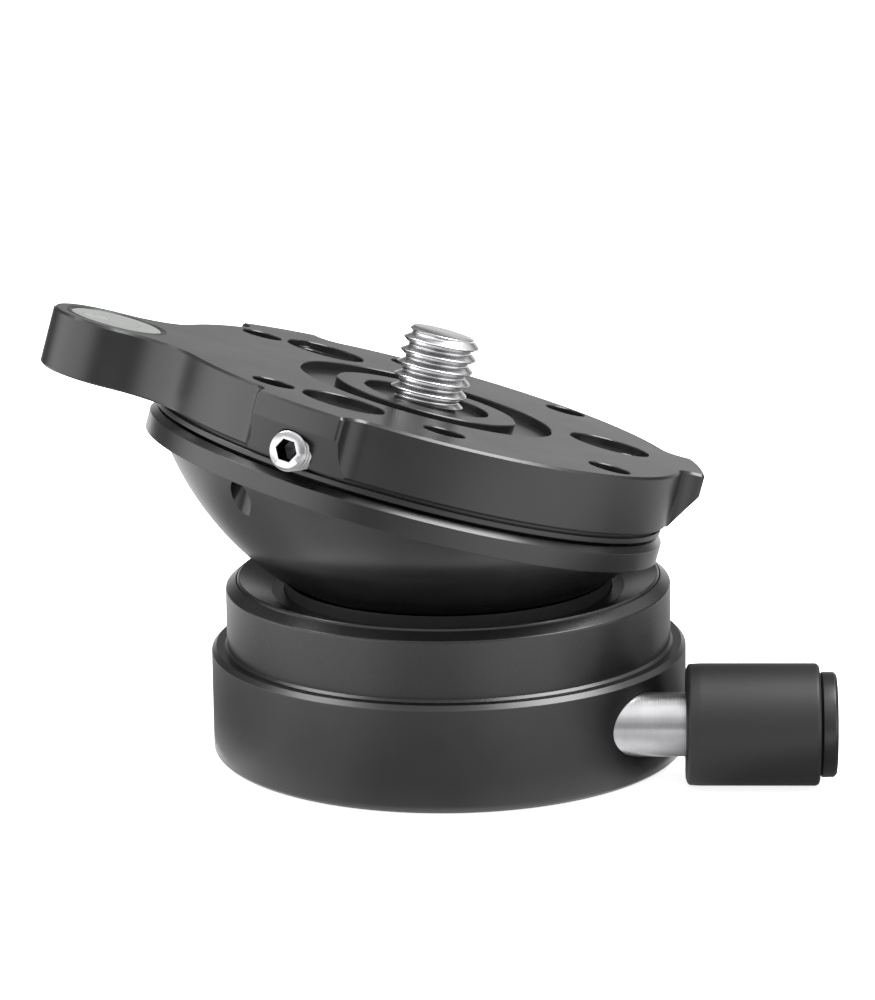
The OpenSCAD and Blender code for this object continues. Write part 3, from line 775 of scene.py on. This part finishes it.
# Painted shade in the side screws' thread roots and hex sockets
screw_steels = [
    steel(f"screw_steel_{i}", m, (0.4, 0.4, 0.41), 0.26, (2.1, 2.44, end, 0.3, 0.85))
    for i, (m, end) in enumerate(zip(SIDE_PLACES, SIDE_ENDS))
]
dark_steel = plain("oiled_steel", None, (0.2, 0.2, 0.21), 0.35, 8.0, 1.0)
bronze = plain("bronze", None, (0.5, 0.36, 0.18), 0.35, 5.0, 1.0)
slide = plain("slide_plastic", None, (0.03, 0.03, 0.032), 0.4)
cup_black = plain("cup_plastic", LUG, (0.012, 0.012, 0.012), 0.4)


def level_glass():
    """A pale window with a ring mark and a bubble that has run to the high side."""
    f = Finish("level_window", Metallic=0.0, Specular_IOR_Level=0.12)
    p = f.place(LUG)
    r, _, _ = polar(p)
    ring_mark = r.band(2.75, 2.85) * (1 - r.band(3.0, 3.1))
    x, y, _ = split(p)
    across, along = x + 2.6, y + 0.9
    away = (across * across + along * along).math("SQRT")
    rim = away.band(1.5, 1.62) * (1 - away.band(1.75, 1.9))
    bubble = 1 - away.band(1.5, 1.7)
    cloud = f.noise(p, 0.3, 2.0).band(0.3, 0.7)
    pale = (cloud * 0.3 + bubble * 0.7).colours((0.165, 0.172, 0.16), (0.21, 0.22, 0.205))
    marks = (ring_mark * 0.4).math("MAXIMUM", rim * 0.35)
    ink = (0.08, 0.09, 0.08, 1)
    marked = p.node("Mix", (0, marks), (6, pale), (7, ink), data_type="RGBA", output=2)
    f.set("Base Color", marked)
    f.set("Roughness", 0.25)
    return f.material


window = level_glass()
liquid = plain("level_liquid", LUG, (0.5, 0.56, 0.4), 0.1)


def paint(o, material):
    o.data.materials.clear()
    o.data.materials.append(material)


def show(o, body, material, stands_for, angle=35):
    """Finishes a piece: shading, material, the body it rides on and the nodes it stands for."""
    finish_faces(o, angle)
    paint(o, material)
    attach(o, body)
    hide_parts(*stands_for)


show(housing, "base", base_black, ["base_housing"])
show(ring, "base", ring_black, ["socket_ring"])
show(cover, "base", base_black, ["bottom_cover"])
show(bush, "base", bush_steel, ["tripod_bush"], 62)
for s in case_screws:
    show(s, "base", dark_steel, ["case_screws"])
show(bowl, "bowl", bowl_black, ["half_bowl"])
show(plate, "plate", plate_black, ["top_plate"], 14)
show(sleeve, "near_cotter", bright, ["near_cotter"])
show(grip, "knob", rubber, ["knob_grip"])
show(end_cap, "knob", cap_black, ["knob_core"])
show(stud, "plate", stud_steel, ["mounting_stud"], 62)
for s, finish in zip(side_screws, screw_steels):
    show(s, "plate", finish, ["side_screws"], 62)
for s in lock_screws:
    show(s, "plate", dark_steel, ["lock_screws"])
show(cup, "plate", cup_black, ["level_cup"])
show(lens, "plate", window, ["level_lens"])

CAD_FINISH = {
    base_black: ["base_housing", "socket_ring", "bottom_cover", "half_bowl", "top_plate", "knob_core"],
    bush_steel: ["tripod_bush", "mounting_stud", "side_screws", "near_cotter"],
    dark_steel: [
        "case_screws", "disc_spring", "far_cotter", "clamp_screw", "knob_pin", "pull_bolt", "draw_cup",
        "lock_nut", "stud_nut", "lock_screws",
    ],
    bronze: ["thrust_washer", "clamp_washer"],
    rubber: ["knob_grip"],
    slide: ["friction_ring"],
    cup_black: ["level_cup"],
    window: ["level_lens"],
    liquid: ["level_fluid"],
}
for material, names in CAD_FINISH.items():
    for n in names:
        paint(nodes[n], material)

# Stage, camera, light
clear_selection()
bpy.ops.mesh.primitive_plane_add(size=6, location=(0, 0, -0.1 * MM))
floor = bpy.context.object
floor.name = "floor"
white = Finish(
    "floor_white",
    Base_Color=(0.92, 0.92, 0.92),
    Roughness=0.7,
    Specular_IOR_Level=0.1,
    Emission_Color=(1, 1, 1),
    Emission_Strength=0.8,
)
paint(floor, white.material)


def reflector():
    """Light by direction for the gloss to mirror: a pale floor, dark in front, bright at the sides."""
    f = Finish("studio_light", Base_Color=(0, 0, 0), Specular_IOR_Level=0.0, Emission_Strength=1.0)
    r, angle, z = polar(f.place())

    def lobe(middle, half, soft):
        """1 within half of a direction, in degrees, fading to 0 over the soft edge."""
        inner, outer = math.cos(math.radians(half)), math.cos(math.radians(half + soft))
        return (angle - math.radians(middle)).math("COSINE").band(outer, inner)

    # The floor near the object, with painted shadow darkening it under the knob and the lug
    by_knob = lobe(-5, 24, 16) * (1 - r.band(80, 100))
    shaded = by_knob.math("MAXIMUM", lobe(25, 18, 22) * (1 - r.band(100, 140)) * 0.55)
    by_lug = lobe(172, 16, 22) * (1 - r.band(60, 85))
    sides = (lobe(-147, 12, 28) + lobe(-46, 12, 30)) * (1 - r.band(170, 260))
    pale = r.band(40, 110) * 0.6 + r.band(220, 330) * 0.4 - r.band(33, 40) * 0.3 + 0.92
    near = pale * (sides * 0.6 + 1) * (1 - shaded * 0.8) * (1 - by_lug * 0.45)

    # The walls: panels left and right, a low one behind and a faint one in front
    panels = lobe(-160, 14, 40) * 2.9 + lobe(-30, 10, 34) * 2.0
    behind = lobe(90, 16, 18) * (1 - z.band(150, 240)) * 0.76
    front = lobe(-97, 22, 25) * r.band(680, 900) * 0.4
    far = panels + behind + 0.12 + front

    # The ceiling, brighter in front and dimmer behind
    brighter = lobe(-100, 40, 40) * 0.9 * z.band(700, 1000)
    dimmer = lobe(112, 42, 26) * 0.75 * (1 - z.band(1150, 1250))
    above = brighter - dimmer + 1.0

    high = z.band(380, 460)
    level = (near + (far - near) * r.band(340, 480)) * (1 - high) + above * high
    f.set("Emission Color", r.node("CombineColor", (0, level), (1, level), (2, level)))
    return f.material


# The reflector stands all round and is seen only in the object's own gloss
studio = lathe(
    "studio",
    [(31, 0.4), (400, 0.4), (900, 40), (1000, 120), (1000, 420), (900, 850), (560, 1200), (0, 1350)],
    closed=False,
    steps=96,
)
paint(studio, reflector())
studio.visible_camera = studio.visible_diffuse = False
studio.visible_shadow = studio.visible_transmission = False

world = bpy.data.worlds.new("studio")
bpy.context.scene.world = world
world.use_nodes = True
sky = world.node_tree.nodes["Background"]
sky.inputs["Color"].default_value = (1, 1, 1, 1)
sky.inputs["Strength"].default_value = 1.0


def softbox(name, azimuth, elevation, distance, side, power):
    """A square area light that looks at the object's middle."""
    middle = Vector((0, 0, 0.03))
    turn = Matrix.Rotation(math.radians(azimuth), 3, "Z")
    towards = turn @ Matrix.Rotation(-math.radians(elevation), 3, "Y") @ Vector((1, 0, 0))
    clear_selection()
    bpy.ops.object.light_add(type="AREA", location=middle + towards * distance)
    o = bpy.context.object
    o.name = name
    o.data.size, o.data.energy = side, power
    o.rotation_euler = towards.to_track_quat("Z", "Y").to_euler()


softbox("right_box", -3, 60, 0.8, 0.42, 8.0)
softbox("left_box", 175, 55, 0.8, 0.34, 3.6)

# The photo's camera: its turn, its look down and its roll, in degrees
CAMERA_TURN, CAMERA_DOWN, CAMERA_ROLL = 2.7, 13.93, -0.775
clear_selection()
bpy.ops.object.camera_add(location=(0.0216, -0.4832, 0.1515))
camera = bpy.context.object
camera.rotation_mode = "QUATERNION"
heading = (
    Matrix.Rotation(math.radians(CAMERA_TURN), 4, "Z")
    @ Matrix.Rotation(math.radians(90 - CAMERA_DOWN), 4, "X")
    @ Matrix.Rotation(math.radians(CAMERA_ROLL), 4, "Z")
)
camera.rotation_quaternion = heading.to_quaternion()
camera.data.sensor_width = 36
camera.data.lens = 142.82
camera.data.clip_start, camera.data.clip_end = 0.01, 20
bpy.context.scene.camera = camera

view = bpy.context.scene.view_settings
view.view_transform = "Standard"
view.look = "None"
view.exposure = 0.0
